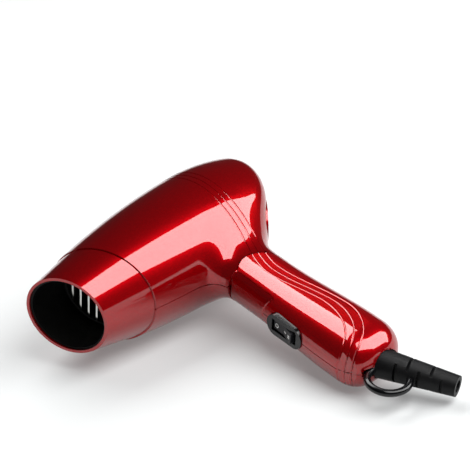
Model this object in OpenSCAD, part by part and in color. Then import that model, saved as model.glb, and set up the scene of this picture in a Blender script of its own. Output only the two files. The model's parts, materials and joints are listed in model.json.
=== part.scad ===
// Compact folding hair dryer, lying on its side.
// +X is the way the air leaves, +Y runs to the end of the handle, +Z is up.
// Sections are built about the barrel axis and then lifted onto z = 0.

/* [View] */
// Sub-part to show, or "all"

/* [Barrel] */
// Largest radius of the barrel
barrel_r = 37.5; // [30:0.1:50]
// Distance from the front seam back to the widest section
widest_x = 84.2; // [60:1:110]
// Radius of the long side curve in front of the widest section
front_arc_r = 502; // [300:10:900]
// Radius of the side curve behind the widest section
rear_arc_r = 128.3; // [80:5:300]
// Wall thickness of the moulded shells
wall = 2.2; // [1.2:0.1:4]
// Slant of the seam between barrel and nozzle
seam_tilt = 19.3; // [0:0.1:30]
// Straight bore that takes the nozzle's spigot
socket_r = 26.8; // [20:0.1:32]
// Depth of that bore behind the seam
socket_len = 15; // [10:1:30]

/* [Rear cap] */
// Slant of the rounded rear end
cap_tilt = 44; // [20:0.5:60]
// Radius of the rear cap
cap_r = 70.6; // [40:0.1:90]
// Corner radius of the rear cap
cap_corner = 41.5; // [20:0.5:60]
// Centre of the cap along the barrel
cap_x = -71.2; // [-110:0.1:-50]
// Centre of the cap across the barrel
cap_y = 8.9; // [-20:0.1:30]
// Radius of the round air intake
intake_r = 17; // [10:0.5:24]
// Distance of the intake from the middle of the cap
intake_off = 21; // [10:0.5:30]

/* [Style lines] */
// Position of the rearmost ring line behind the seam
ring_x = 86; // [60:1:110]
// Distance between neighbouring lines
line_pitch = 4; // [2:0.5:8]
// Half width and depth of a line
line_r = 0.55; // [0.3:0.05:1.5]

/* [Nozzle] */
// Radius of the nozzle at the seam
nozzle_r = 29.7; // [20:0.1:40]
// Radius of the nozzle at its mouth
mouth_r = 24.3; // [15:0.05:35]
// Length of the nozzle on the barrel axis
nozzle_len = 28.4; // [15:0.1:60]
// Slant of the mouth
mouth_tilt = 16.5; // [0:0.1:30]
// Offset of the nozzle across the barrel
nozzle_y = -0.4; // [-3:0.1:3]
// Wall of the red outer nozzle
nozzle_wall = 1.7; // [1:0.1:3]
// Wall of the black liner
liner_wall = 1.4; // [0.8:0.1:3]
// How far the spigot reaches behind the seam
spigot_len = 8; // [4:0.5:14]

/* [Handle] */
// Fold pivot along the barrel
pivot_x = -67; // [-90:0.5:-40]
// Fold pivot away from the barrel axis
pivot_y = 66; // [50:0.5:90]
// Forward lean of the handle from square
handle_lean = 7.8; // [0:0.1:20]
// Offset of the handle centre line behind the pivot
handle_off = -3.6; // [-10:0.1:5]
// Half width of the handle at the pivot
grip_b0 = 14.4; // [10:0.1:20]
// Half width of the handle at its bulb
grip_b1 = 17.2; // [12:0.1:24]
// Half of the extra depth front to back
grip_d = 4.7; // [0:0.1:10]
// Distance from the pivot to the handle end
grip_len = 90.5; // [60:0.5:140]
// Length of the rounded handle end
grip_dome = 19; // [8:0.5:30]
// Flare where the neck meets the barrel
neck_flare = 2.5; // [0:0.5:15]

/* [Fold joint] */
// Radius of the handle's cheeks about the pivot
cheek_r = 18; // [12:0.1:24]
// Radius of the neck's tongue about the pivot
tongue_r = 20.7; // [14:0.1:26]
// Half thickness of the tongue
tongue_z = 10.4; // [6:0.1:13]
// Gap between turning faces
fold_gap = 0.35; // [0.3:0.05:1]
// Radius of the pivot pin
pin_r = 3; // [1.5:0.1:5]
// Radial running clearance of pins and shafts
running = 0.05; // [0.01:0.01:0.1]

/* [Switch] */
// Middle of the switch below the pivot
switch_y = 33.9; // [20:0.5:60]
// Length of the switch frame
switch_len = 28; // [18:0.5:40]
// Width of the switch frame
switch_w = 13; // [8:0.5:20]
// Swing of the rocker between off and high
rocker_swing = 20; // [8:1:30]

/* [Cord end] */
// Backward lean of the strain relief from the handle
relief_lean = 24.2; // [0:0.1:45]
// Radius of the strain relief at the handle
relief_r0 = 8.8; // [5:0.1:14]
// Radius of the strain relief at its tip
relief_r1 = 6; // [3:0.1:10]
// Length of the strain relief outside the handle
relief_len = 43; // [20:1:80]
// Radius of the cord bore
cord_r = 3.5; // [2:0.1:5]
// Radius of the hanging loop
loop_r = 11.5; // [7:0.5:20]
// Radius of the loop's round section
loop_wire = 2.1; // [1:0.1:4]

/* [Air path] */
// Radius of the fan blades
fan_r = 27.2; // [18:0.1:32]
// Number of fan blades
blades = 7; // [4:1:11]
// Radius of the motor can
motor_r = 13.7; // [8:0.1:18]
// Radius of the heater tube
mica_r = 24.2; // [16:0.1:28]
// Number of heater wire turns
turns = 9; // [4:1:14]

/* [Hidden] */
$fn = 64;
big = 300;
eps = 0.01;
line_dip = 4.7;
line_bow = 8;
origin_x = 48.79;
origin_y = -79.95;
relief_s = [-3.2, 84];
loop_c = [2.5, 100.5];
cone_slope = (nozzle_r - mouth_r) / nozzle_len;
front_face = handle_off + grip_d;
slot_r = tongue_r + fold_gap;
slot_z = tongue_z + fold_gap;
fan_x = -93;
motor_x0 = -82;
motor_x1 = -56;
duct_r = fan_r + 0.9;
heater_x0 = -50;
heater_x1 = -25;
grille_depth = 3.5;
sleeve_r = 24.3;
bar_pitch = 4.7;
screw_r = 1.4;
screw_head = 2.2;
boss_r = 3.2;
handle_posts = [[-11, 62], [-13, 27]];
barrel_posts = [[-80, -33], [-35, -29]];
handle_screw_z = 12;
barrel_screw_z = 10;
detent_at = [0, -12.6];
rocker_axis_z = -2.6;
axle_r = 1.2;
lead_r = 1.1;

module placed() {
    translate([origin_x, origin_y, barrel_r])
        children();
}

module along_x() {
    rotate([0, 90, 0])
        children();
}

// Frame of the handle: origin on the pivot, +Y down the handle.
module grip_frame() {
    translate([pivot_x, pivot_y, 0])
        rotate([0, 0, -handle_lean])
            children();
}

// Frame of the rear cap: +Z out of the rear face.
module cap_frame() {
    translate([cap_x, cap_y, 0])
        rotate([0, -90, -cap_tilt])
            children();
}

// Frame of the air intake, sunk a little below the cap's face.
module intake_frame() {
    cap_frame()
        translate([0, -intake_off, cap_corner - 1.2])
            children();
}

// Everything behind a slanted plane that crosses the axis at x.
module behind(x, tilt) {
    translate([x, 0, 0])
        rotate([0, 0, tilt])
            translate([-big, -big / 2, -big / 2])
                cube([big, big, big]);
}

module between(x0, x1, tilt) {
    translate([x0, 0, 0])
        rotate([0, 0, tilt])
            translate([0, -big / 2, -big / 2])
                cube([(x1 - x0) * cos(tilt), big, big]);
}

module upper_half() {
    translate([-big, -big, 0])
        cube([2 * big, 2 * big, big]);
}

module lower_half() {
    translate([-big, -big, -big])
        cube([2 * big, 2 * big, big]);
}

// ---------- barrel ----------

module barrel_profile(inset) {
    intersection() {
        translate([barrel_r - front_arc_r, -widest_x])
            circle(r = front_arc_r - inset, $fn = 1440);
        translate([0, -widest_x])
            square([barrel_r + 10, widest_x + 20]);
    }
    intersection() {
        translate([barrel_r - rear_arc_r, -widest_x])
            circle(r = rear_arc_r - inset, $fn = 720);
        translate([0, -widest_x - 70])
            square([barrel_r + 10, 70 + eps]);
    }
}

// Open in front of the corner centres, rounded behind them.
module cap_profile(inset) {
    translate([0, -150])
        square([150, 150]);
    square([cap_r - cap_corner, cap_corner - inset]);
    intersection() {
        translate([cap_r - cap_corner, 0])
            circle(r = cap_corner - inset, $fn = 240);
        translate([0, -1])
            square([90, 60]);
    }
}

module barrel_form(inset) {
    intersection() {
        along_x()
            rotate_extrude($fn = 144)
                barrel_profile(inset);
        cap_frame()
            rotate_extrude($fn = 240)
                cap_profile(inset);
    }
}

// ---------- handle ----------

function ease(t) = t <= 0 ? 0 : t >= 1 ? 1 : t * t * (3 - 2 * t);
function grip_b(y) = grip_b0 + (grip_b1 - grip_b0) * ease(y / 66)
    + neck_flare * pow(max(0, (-12 - y) / 20), 2);
function dome(u) = pow(max(0, 1 - pow(u, 2.3)), 1 / 2.3);

module grip_profile(inset) {
    straight = [for (y = [-36 : 6 : grip_len - grip_dome - 1]) [grip_b(y) - inset, y]];
    y0 = grip_len - grip_dome;
    round_end = [for (i = [0 : 11])
        let (a = i * 90 / 11)
        [max(0, (grip_b(y0) - inset) * pow(cos(a), 0.87)),
            y0 + (grip_dome - inset) * pow(sin(a), 0.87)]];
    polygon(concat([[0, -36]], straight, round_end));
}

// Stadium section: a front and a rear round body with a slab between them.
module grip_form(inset) {
    for (side = [-1, 1])
        translate([handle_off + side * grip_d, 0, 0])
            rotate([-90, 0, 0])
                rotate_extrude()
                    grip_profile(inset);
    translate([handle_off - grip_d, 0, 0])
        rotate([0, 90, 0])
            linear_extrude(height = 2 * grip_d) {
                grip_profile(inset);
                mirror([1, 0, 0])
                    grip_profile(inset);
            }
}

module disc(r, z) {
    translate([0, 0, -z])
        cylinder(r = r, h = 2 * z);
}

// What belongs to the handle: the cheeks, and all below the neck's rear edge.
module handle_zone(gap) {
    disc(cheek_r + gap, 40);
    translate([-60, -3 - gap, -40])
        cube([60, 200, 80]);
    translate([-eps, 0, -40])
        cube([60, 200, 80]);
}

module handle_solid() {
    difference() {
        intersection() {
            grip_form(0);
            handle_zone(0);
        }
        difference() {
            intersection() {
                grip_form(wall);
                translate([-60, -60, -40])
                    cube([120, 260, 80]);
            }
            disc(slot_r + 2.2, 40);
        }
        disc(slot_r, slot_z);
        // way in for the leads, below the tongue
        translate([-12, 5, -7])
            cube([22, 24, 14]);
        // seat of the pivot pin
        disc(pin_r + running, slot_z + 2.2);
        // switch opening
        translate([0, switch_y - switch_len / 2 + 1.6, -switch_w / 2 + 1.6])
            cube([40, switch_len - 3.2, switch_w - 3.2]);
        // notch of the hanging loop
        translate([loop_c[0], loop_c[1], 0])
            rotate_extrude()
                translate([loop_r, 0])
                    circle(r = loop_wire + 0.9);
        relief_frame()
            translate([0, 0, -1])
                cylinder(r = relief_r0 + 0.1, h = 40);
        // seat of the switch frame
        switch_frame_of()
            translate([0, 0, -1.6])
                pill(switch_len + 0.2, switch_w + 0.2, 20);
    }
    for (p = handle_posts)
        translate([p[0], p[1], 0])
            intersection() {
                disc(boss_r, 40);
                translate([-p[0], -p[1], 0])
                    grip_form(wall / 2);
            }
}

module relief_frame() {
    translate([relief_s[0], relief_s[1], 0])
        rotate([0, 0, relief_lean])
            rotate([-90, 0, 0])
                children();
}

module screw_holes(posts, depth) {
    for (p = posts)
        translate([p[0], p[1], -depth])
            cylinder(r = screw_r, h = 2 * depth - 6);
    for (p = posts)
        translate([p[0], p[1], -60])
            cylinder(r = screw_head + 0.25, h = 60 - depth + 2.4);
}

// Three style lines: bowed back over the neck, drawn in along the grip, and
// hooked round the front of the bulb. k = 0 is the front line.
function line_x0(k) = 1.4 - 4.2 * k;
function line_y0(k) = 38 + 6 * k;
function line_y1(k) = 77 + 4 * k;
function line_hook(k) = 24 + 5 * k;
function hook_at(t) = 1 - sqrt(1 - min(1, t) * min(1, t));
function line_at(k, y) = line_x0(k)
    - line_bow * ease(-y / 34)
    - line_dip * ease(y / (42 + 5 * k))
    + line_hook(k) * hook_at(max(0, (y - line_y0(k)) / (line_y1(k) - line_y0(k))));
function line_ys(k, from) = concat([for (y = [from : 6 : line_y0(k) - 3]) y],
    [for (i = [0 : 10]) line_y0(k) + (line_y1(k) - line_y0(k)) * sin(i * 9)]);

module style_line(k, from) {
    pts = [for (y = line_ys(k, from)) [line_at(k, y), y]];
    last = len(pts) - 1;
    dirs = [for (i = [0 : last]) pts[min(i + 1, last)] - pts[max(i - 1, 0)]];
    side = [for (d = dirs) [d[1], -d[0]] * line_r / norm(d)];
    linear_extrude(height = 80, center = true)
        polygon(concat([for (i = [0 : last]) pts[i] + side[i]],
            [for (i = [last : -1 : 0]) pts[i] - side[i]]));
}

// The skin that the style lines cut, as deep as they are wide.
module line_cuts(from) {
    intersection() {
        for (k = [0 : 2])
            style_line(k, from);
        difference() {
            grip_form(-1);
            grip_form(line_r);
        }
    }
}

module handle_shells() {
    difference() {
        handle_solid();
        screw_holes(handle_posts, handle_screw_z);
        line_cuts(-18);
    }
}

module handle_upper() {
    color([0.72, 0.02, 0.04])
        placed()
            grip_frame()
                intersection() {
                    handle_shells();
                    upper_half();
                }
}

module handle_lower() {
    color([0.72, 0.02, 0.04])
        placed()
            grip_frame()
                intersection() {
                    handle_shells();
                    lower_half();
                }
}

// ---------- barrel shells with neck and tongue ----------

module neck_outer() {
    grip_frame()
        difference() {
            intersection() {
                grip_form(0);
                translate([-60, -36, -40])
                    cube([120, 60, 80]);
            }
            handle_zone(fold_gap);
            line_cuts(-34);
            // room for the folded handle in front of the pivot
            translate([4, -15.9, -40])
                cube([60, 60, 80]);
        }
}

module neck_inner() {
    grip_frame()
        intersection() {
            grip_form(wall);
            translate([-60, -40, -40])
                cube([120, 60, 80]);
        }
}

module tongue() {
    grip_frame()
        difference() {
            intersection() {
                grip_form(0.15);
                disc(tongue_r, tongue_z);
            }
            intersection() {
                disc(tongue_r - wall, tongue_z - wall);
                grip_form(wall);
            }
            // slot that lets the leads follow the handle
            translate([-10, 0, -5])
                cube([22, 30, 10]);
            // mouth towards the barrel
            translate([-14, -30, -tongue_z + wall])
                cube([24, 30, 2 * (tongue_z - wall)]);
        }
}

module pin_boss() {
    grip_frame()
        for (side = [-1, 1])
            translate([0, 0, side * (tongue_z - 2.4) - 2.4])
                cylinder(r = pin_r + 2.5, h = 4.8);
}

module detent_boss() {
    grip_frame()
        translate([detent_at[0], detent_at[1], 1])
            cylinder(r = 3.2, h = tongue_z - 1);
}

module barrel_solid() {
    difference() {
        union() {
            difference() {
                union() {
                    intersection() {
                        barrel_form(0);
                        behind(0, seam_tilt);
                    }
                    neck_outer();
                }
                intersection() {
                    barrel_form(wall);
                    behind(-socket_len, seam_tilt);
                }
                neck_inner();
                translate([-40, 0, 0])
                    along_x()
                        cylinder(r = socket_r, h = 100);
            }
            tongue();
            pin_boss();
            detent_boss();
            for (p = barrel_posts)
                intersection() {
                    translate([p[0], p[1], 0])
                        disc(boss_r, 36);
                    barrel_form(wall / 2);
                }
        }
        grip_frame()
            disc(pin_r, 40);
        grip_frame()
            translate([detent_at[0], detent_at[1], 2.2])
                cylinder(r = 1.9, h = 20);
        screw_holes(barrel_posts, barrel_screw_z);
        // three ring lines
        for (k = [0 : 2])
            translate([-ring_x + k * line_pitch, 0, 0])
                along_x()
                    rotate_extrude()
                        translate([barrel_r + 0.1, 0])
                            circle(r = line_r);
        intake_frame()
            translate([0, 0, -30])
                cylinder(r = intake_r, h = 60);
    }
}

module barrel_upper() {
    color([0.72, 0.02, 0.04])
        placed()
            intersection() {
                barrel_solid();
                upper_half();
            }
}

module barrel_lower() {
    color([0.72, 0.02, 0.04])
        placed()
            intersection() {
                barrel_solid();
                lower_half();
            }
}

// ---------- air path ----------

module rear_grille() {
    color([0.09, 0.09, 0.10])
        placed()
            intake_frame()
                difference() {
                    union() {
                        translate([0, 0, -4.4])
                            difference() {
                                cylinder(r = intake_r - 0.1, h = 4.2);
                                translate([0, 0, -1])
                                    cylinder(r = intake_r - 2, h = 6);
                            }
                        translate([0, 0, -2.4]) {
                            for (r = [4.5, 8.5, 12.5])
                                difference() {
                                    cylinder(r = r + 0.6, h = 1.8);
                                    translate([0, 0, -1])
                                        cylinder(r = r - 0.6, h = 4);
                                }
                            for (a = [0 : 60 : 300])
                                rotate([0, 0, a])
                                    translate([0, -0.7, 0])
                                        cube([intake_r - 1, 1.4, 1.6]);
                            cylinder(r = 2.2, h = 1.8);
                        }
                    }
                    // thumb notch
                    translate([0, intake_r, -1.4])
                        cylinder(r = 1.6, h = 4);
                }
}

module lint_screen() {
    color([0.45, 0.46, 0.47])
        placed()
            intake_frame()
                translate([0, 0, -4.2])
                    difference() {
                        cylinder(r = intake_r - 2.2, h = 0.4);
                        for (a = [0 : 30 : 330])
                            for (r = [4, 7, 10, 13])
                                rotate([0, 0, a])
                                    translate([r, 0, -1])
                                        cylinder(r = 0.28 * pow(r, 0.5) + 0.2, h = 3);
                    }
}

module socket_ring(x0, x1, r0, r1) {
    intersection() {
        between(x0, x1, seam_tilt);
        translate([-60, 0, 0])
            along_x()
                difference() {
                    cylinder(r = r1, h = 90);
                    translate([0, 0, -1])
                        cylinder(r = r0, h = 100);
                }
    }
}

module front_grille() {
    color([0.62, 0.62, 0.60])
        placed() {
            // flange in the socket, and a sleeve that the nozzle's spigot slides round
            socket_ring(-12.5, -9.5, sleeve_r - 1.4, socket_r - 0.1);
            socket_ring(-10, -grille_depth, sleeve_r - 1.4, sleeve_r);
            intersection() {
                between(-grille_depth - 2.2, -grille_depth - 0.2, seam_tilt);
                translate([-60, 0, 0])
                    along_x()
                        cylinder(r = sleeve_r - 0.9, h = 90);
                for (y = [-4 : 5])
                    translate([-60, y * bar_pitch - 1, -40])
                        cube([80, 1, 80]);
            }
        }
}

module mica_tube() {
    color([0.80, 0.72, 0.55])
        placed()
            translate([heater_x0 - 2, 0, 0])
                along_x()
                    difference() {
                        cylinder(r = mica_r, h = heater_x1 - heater_x0 + 3);
                        translate([0, 0, -1])
                            cylinder(r = mica_r - 0.5, h = 80);
                    }
}

module wire_rings(extra) {
    pitch = (heater_x1 - heater_x0 - 5) / (turns - 1);
    for (i = [0 : turns - 1])
        translate([heater_x0 + 2.5 + i * pitch, 0, 0])
            along_x()
                rotate_extrude()
                    translate([mica_r - 5, 0])
                        circle(r = 0.4 + extra);
}

module heater_boards() {
    color([0.83, 0.76, 0.62])
        placed()
            difference() {
                for (a = [0, 90])
                    rotate([a, 0, 0])
                        translate([heater_x0, -mica_r + 0.9, -0.4])
                            cube([heater_x1 - heater_x0, 2 * mica_r - 1.8, 0.8]);
                wire_rings(0.15);
            }
}

module heater_wire() {
    color([0.50, 0.47, 0.43])
        placed()
            wire_rings(0);
}

module thermostat() {
    color([0.75, 0.75, 0.72])
        placed()
            translate([heater_x0 + 6, -9, 0.6]) {
                cube([9, 5, 2.2]);
                translate([4.5, 2.5, 2.2])
                    cylinder(r = 1.6, h = 1.2);
            }
}

module thermal_fuse() {
    color([0.85, 0.83, 0.76])
        placed()
            translate([heater_x0 + 5, 8, 2.2]) {
                along_x()
                    cylinder(r = 1.5, h = 10);
                translate([-3, 0, 0])
                    along_x()
                        cylinder(r = 0.45, h = 16);
            }
}

module fan_duct() {
    color([0.16, 0.16, 0.17])
        placed() {
            translate([fan_x - 1, 0, 0])
                along_x()
                    difference() {
                        cylinder(r = duct_r + 1.4, h = 40);
                        translate([0, 0, -1])
                            cylinder(r = duct_r, h = 60);
                    }
            for (a = [0 : 60 : 300])
                rotate([a, 0, 0])
                    translate([motor_x0 + 4, -0.8, motor_r + 0.6])
                        cube([16, 1.6, duct_r - motor_r]);
            translate([motor_x0 + 2, 0, 0])
                along_x()
                    difference() {
                        cylinder(r = motor_r + 1.7, h = 20);
                        translate([0, 0, -1])
                            cylinder(r = motor_r, h = 60);
                    }
            for (a = [45, 135, 225, 315])
                rotate([a, 0, 0])
                    translate([motor_x0 + 4, -1.2, duct_r + 1])
                        cube([10, 2.4, barrel_r - duct_r - 3.6]);
        }
}

module motor_can() {
    color([0.70, 0.71, 0.73])
        placed()
            translate([motor_x0, 0, 0])
                along_x()
                    difference() {
                        union() {
                            cylinder(r = motor_r, h = motor_x1 - motor_x0);
                            translate([0, 0, -2])
                                cylinder(r = 4.5, h = 3);
                        }
                        translate([0, 0, -5])
                            cylinder(r = 1.5 + running, h = 60);
                    }
}

module motor_board() {
    color([0.10, 0.32, 0.18])
        placed()
            translate([motor_x1, 0, 0])
                along_x()
                    difference() {
                        cylinder(r = motor_r - 0.7, h = 1.6);
                        translate([0, 0, -1])
                            cylinder(r = 2.4, h = 5);
                    }
}

module capacitor() {
    color([0.72, 0.30, 0.10])
        placed() {
            translate([motor_x1 + 1.6, -10, -2.5])
                cube([4, 5, 5]);
            for (a = [30, 75, 120])
                rotate([a, 0, 0])
                    translate([motor_x1 + 1.6, 6, -1.2])
                        cube([2.2, 4.4, 2.4]);
        }
}

module fan_impeller() {
    color([0.13, 0.13, 0.14])
        placed()
            translate([fan_x, 0, 0])
                along_x()
                    difference() {
                        union() {
                            cylinder(r = 9, h = 8.4);
                            intersection() {
                                cylinder(r = fan_r, h = 9);
                                for (i = [0 : blades - 1])
                                    rotate([0, 0, i * 360 / blades])
                                        translate([7, 0, 4.2])
                                            rotate([50, 0, 0])
                                                translate([0, -0.7, -7])
                                                    cube([24, 1.4, 14]);
                            }
                        }
                        translate([0, 0, -1])
                            cylinder(r = 1.5, h = 20);
                    }
}

module motor_shaft() {
    color([0.78, 0.78, 0.80])
        placed()
            translate([fan_x - 0.6, 0, 0])
                along_x()
                    cylinder(r = 1.5, h = motor_x1 - fan_x + 2);
}

// ---------- nozzle ----------

module nozzle_cone(inset) {
    translate([-30, nozzle_y, 0])
        along_x()
            cylinder(r1 = nozzle_r + 30 * cone_slope - inset,
                r2 = nozzle_r - 50 * cone_slope - inset, h = 80);
}

module nozzle_span(back, front) {
    intersection() {
        difference() {
            behind(nozzle_len - front, mouth_tilt);
            behind(back, seam_tilt);
        }
        translate([-60, -60, -60])
            cube([140, 120, 120]);
    }
}

module nozzle_shell() {
    color([0.72, 0.02, 0.04])
        placed()
            difference() {
                intersection() {
                    nozzle_cone(0);
                    nozzle_span(0.35, 0);
                }
                nozzle_cone(nozzle_wall);
            }
}

module nozzle_liner() {
    color([0.05, 0.05, 0.05])
        placed()
            difference() {
                union() {
                    intersection() {
                        nozzle_cone(nozzle_wall);
                        nozzle_span(0.35, 1.2);
                    }
                    intersection() {
                        translate([-60, 0, 0])
                            along_x()
                                cylinder(r = socket_r - 0.35, h = 100);
                        difference() {
                            behind(1.5, seam_tilt);
                            behind(-spigot_len, seam_tilt);
                        }
                    }
                }
                intersection() {
                    nozzle_cone(nozzle_wall + liner_wall);
                    translate([-60, 0, 0])
                        along_x()
                            cylinder(r = socket_r - 2, h = 120);
                }
            }
}

// ---------- fold joint ----------

module pivot_pin() {
    color([0.75, 0.75, 0.77])
        placed()
            grip_frame()
                disc(pin_r, slot_z + 1.8);
}

module detent_ball() {
    color([0.80, 0.80, 0.82])
        placed()
            grip_frame()
                translate([detent_at[0], detent_at[1], tongue_z - 1.8])
                    sphere(r = 1.8);
}

module detent_spring() {
    color([0.60, 0.60, 0.62])
        placed()
            grip_frame()
                for (i = [0 : 3])
                    translate([detent_at[0], detent_at[1], 2.7 + i * 1.2])
                        rotate_extrude()
                            translate([1.2, 0])
                                circle(r = 0.3);
}

// ---------- switch ----------

module pill(len, w, h) {
    for (s = [-1, 1])
        translate([0, s * (len - w) / 2, 0])
            cylinder(r = w / 2, h = h);
    translate([-w / 2, -(len - w) / 2, 0])
        cube([w, len - w, h]);
}

// Frame of the switch: +Z out of the front of the handle.
module switch_frame_of() {
    translate([front_face + 15.3, switch_y, 0])
        rotate([0, 90, 0])
            children();
}

module switch_place() {
    placed()
        grip_frame()
            switch_frame_of()
                children();
}

module rocked() {
    translate([0, 0, rocker_axis_z])
        rotate([rocker_swing / 2, 0, 0])
            translate([0, 0, -rocker_axis_z])
                children();
}

module switch_frame() {
    color([0.04, 0.04, 0.045])
        switch_place()
            difference() {
                union() {
                    translate([0, 0, -4])
                        pill(switch_len - 3.8, switch_w - 3.8, 5);
                    translate([0, 0, -1.6])
                        pill(switch_len, switch_w, 3.6);
                }
                translate([-3.7, -9.8, -10])
                    cube([7.4, 19.6, 30]);
                axle_bore(axle_r);
            }
}

module axle_bore(r) {
    translate([-4.4, 0, rocker_axis_z])
        rotate([0, 90, 0])
            cylinder(r = r, h = 8.8);
}

module rocker_axle() {
    color([0.75, 0.75, 0.77])
        switch_place()
            axle_bore(axle_r);
}

module rocker() {
    color([0.13, 0.13, 0.14])
        switch_place()
            difference() {
                rocked()
                    translate([-3.3, 0, 0])
                        rotate([0, 90, 0])
                            linear_extrude(height = 6.6)
                                polygon([[3.5, -7.4], [-2.4, -8.6], [-1.2, 0], [-2.4, 8.6],
                                    [3.5, 7.4], [5.2, 0]]);
                translate([-10, 0, rocker_axis_z])
                    rotate([0, 90, 0])
                        cylinder(r = axle_r + running, h = 20);
            }
}

// A mark lies flat on one wing of the rocker's shallow V face.
module on_wing(y) {
    translate([0, y, 1.2 + 1.2 * abs(y) / 8.6])
        rotate([sign(y) * atan(1.2 / 8.6), 0, 0])
            children();
}

module rocker_marks() {
    color([0.92, 0.92, 0.92])
        switch_place()
            rocked() {
                on_wing(-5.8)
                    difference() {
                        cylinder(r = 1.35, h = 0.15);
                        translate([0, 0, -1])
                            cylinder(r = 0.9, h = 3);
                    }
                on_wing(1.6)
                    translate([-0.25, -1.1, 0])
                        cube([0.5, 2.2, 0.15]);
                for (x = [-0.85, 0.35])
                    on_wing(6)
                        translate([x, -1.1, 0])
                            cube([0.5, 2.2, 0.15]);
            }
}

module switch_body() {
    color([0.08, 0.08, 0.085])
        switch_place()
            difference() {
                translate([-5, -11.4, -15])
                    cube([10, 22.8, 10.8]);
                translate([-3.9, -10.2, -9.5])
                    cube([7.8, 20.4, 20]);
            }
}

module switch_tabs() {
    color([0.80, 0.66, 0.30])
        switch_place()
            for (y = [-8, 0, 8])
                translate([-2, y - 0.4, -19])
                    cube([4, 0.8, 4]);
}

// ---------- cord end ----------

module loop_form(r) {
    translate([loop_c[0], loop_c[1], 0])
        rotate_extrude()
            translate([loop_r, 0])
                circle(r = r);
}

module relief_cone(extra) {
    cylinder(r1 = relief_r0 + extra, r2 = relief_r1 + extra, h = relief_len + 6);
}

module hanging_loop() {
    color([0.03, 0.03, 0.035])
        placed()
            grip_frame()
                difference() {
                    loop_form(loop_wire);
                    // both ends stop at the side of the strain relief
                    relief_frame()
                        translate([0, 0, -1])
                            relief_cone(0);
                    translate([-40, 60, -20])
                        cube([40 + loop_c[0] - 9.5, 80, 40]);
                }
}

module strain_relief() {
    color([0.05, 0.05, 0.055])
        placed()
            grip_frame()
                relief_frame()
                    difference() {
                        union() {
                            translate([0, 0, -1])
                                relief_cone(0);
                            translate([0, 0, -6])
                                cylinder(r = relief_r0 - 1.3, h = 12);
                            translate([0, 0, -6])
                                cylinder(r = relief_r0 + 1.2, h = 3);
                        }
                        translate([0, 0, -20])
                            cylinder(r = cord_r, h = 100);
                        // staggered flex slots
                        for (i = [0 : 4])
                            for (s = [0, 1])
                                rotate([0, 0, s * 180 + (i % 2) * 90])
                                    translate([cord_r + 0.9, -6.4 + i * 0.3, 13 + i * 6.6])
                                        cube([12, 12.8 - i * 0.6, 1.6]);
                    }
}

module cord_clamp() {
    color([0.10, 0.10, 0.11])
        placed()
            grip_frame()
                translate([-2, 62, 0])
                    difference() {
                        translate([-5, -3, -6])
                            cube([16, 6, 12]);
                        rotate([90, 0, 0])
                            cylinder(r = 3, h = 40, center = true);
                    }
}

// ---------- screws and leads ----------

module screw(depth) {
    translate([0, 0, -depth + 2.2 - 1.9])
        difference() {
            cylinder(r = screw_head, h = 1.9);
            for (a = [0, 90])
                rotate([0, 0, a])
                    translate([-1.8, -0.35, -1])
                        cube([3.6, 0.7, 2]);
        }
    translate([0, 0, -depth + 2.2 - eps])
        cylinder(r = screw_r - 0.1, h = depth + 1.4);
}

module handle_screws() {
    color([0.70, 0.70, 0.72])
        placed()
            grip_frame()
                for (p = handle_posts)
                    translate([p[0], p[1], 0])
                        screw(handle_screw_z);
}

module barrel_screws() {
    color([0.70, 0.70, 0.72])
        placed()
            for (p = barrel_posts)
                translate([p[0], p[1], 0])
                    screw(barrel_screw_z);
}

// A straight insulated lead from a to b.
module lead(a, b) {
    d = b - a;
    translate(a)
        rotate([0, acos(d[2] / norm(d)), atan2(d[1], d[0])])
            cylinder(r = lead_r, h = norm(d));
}

module handle_leads() {
    color([0.10, 0.22, 0.60])
        placed()
            grip_frame() {
                lead([-2, 75, 1.5], [-2, 42.6, 1.5]);
                lead([-1.2, 75, -1], [-7, 21, -3.2]);
            }
}

module barrel_leads() {
    color([0.85, 0.82, 0.76])
        placed() {
            lead([-66.5, 52, -1.8], [-56.8, 33.2, -1.8]);
            lead([-67.5, 52, -5.4], [-57.8, 33.2, -5.4]);
        }
}

barrel_upper();
barrel_lower();
rear_grille();
lint_screen();
front_grille();
mica_tube();
heater_boards();
heater_wire();
thermostat();
thermal_fuse();
fan_duct();
motor_can();
motor_board();
capacitor();
fan_impeller();
motor_shaft();
nozzle_shell();
nozzle_liner();
handle_upper();
handle_lower();
pivot_pin();
detent_spring();
detent_ball();
switch_frame();
switch_body();
switch_tabs();
rocker_axle();
rocker();
rocker_marks();
hanging_loop();
strain_relief();
cord_clamp();
handle_screws();
barrel_screws();
handle_leads();
barrel_leads();
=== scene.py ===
"""Looks of a compact folding hair dryer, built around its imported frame.

Lengths are in millimetres in the part's own section frame (barrel axis on X,
front seam at x = 0) and turn into metres in the row frame by to_row().
"""

import json
import math

import bmesh
import bpy
import numpy as np
from mathutils import Matrix, Vector

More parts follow.
